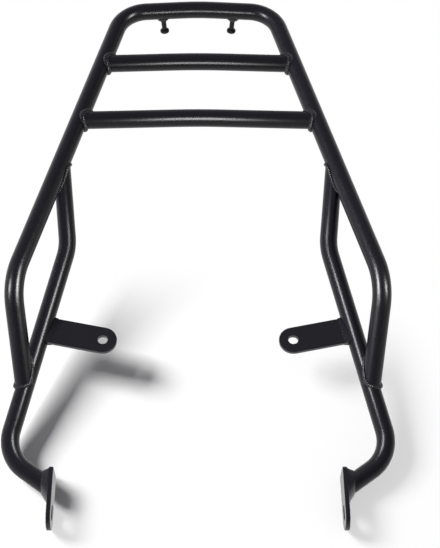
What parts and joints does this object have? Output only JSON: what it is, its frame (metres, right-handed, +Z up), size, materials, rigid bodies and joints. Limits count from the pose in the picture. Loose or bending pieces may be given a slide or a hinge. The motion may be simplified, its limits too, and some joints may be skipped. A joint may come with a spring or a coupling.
{
  "type": "motorcycle luggage rack",
  "caption": "Rear luggage rack of bent and welded steel tube in satin black, with cross tubes, curved struts, bolt-on tabs and slotted foot plates.",
  "frame": {"origin": "midway between the two tab holes, on the tabs' underside", "axes": "+X to the rider's left, -Y ahead, +Z up, with the platform level"},
  "size_m": [0.404, 0.638, 0.1095],
  "materials": {
    "tube_coat": "satin",
    "plate_coat": "satin",
    "peg_coat": "satin",
    "weld_coat": "satin"
  },
  "bodies": {
    "root": {"main_loop_tube": "tube_coat", "rear_cross_tube": "tube_coat", "front_cross_tube": "tube_coat", "left_strut_tube": "tube_coat", "right_strut_tube": "tube_coat", "left_mounting_tab": "plate_coat", "right_mounting_tab": "plate_coat", "left_foot_plate": "plate_coat", "right_foot_plate": "plate_coat", "left_hook_peg": "peg_coat", "right_hook_peg": "peg_coat", "left_rear_cross_weld": "weld_coat", "right_rear_cross_weld": "weld_coat", "left_front_cross_weld": "weld_coat", "right_front_cross_weld": "weld_coat", "left_strut_top_weld": "weld_coat", "right_strut_top_weld": "weld_coat", "left_leg_end_weld": "weld_coat", "right_leg_end_weld": "weld_coat", "left_tab_weld": "weld_coat", "right_tab_weld": "weld_coat", "left_foot_weld": "weld_coat", "right_foot_weld": "weld_coat", "left_peg_weld": "weld_coat", "right_peg_weld": "weld_coat"}
  },
  "joints": []
}
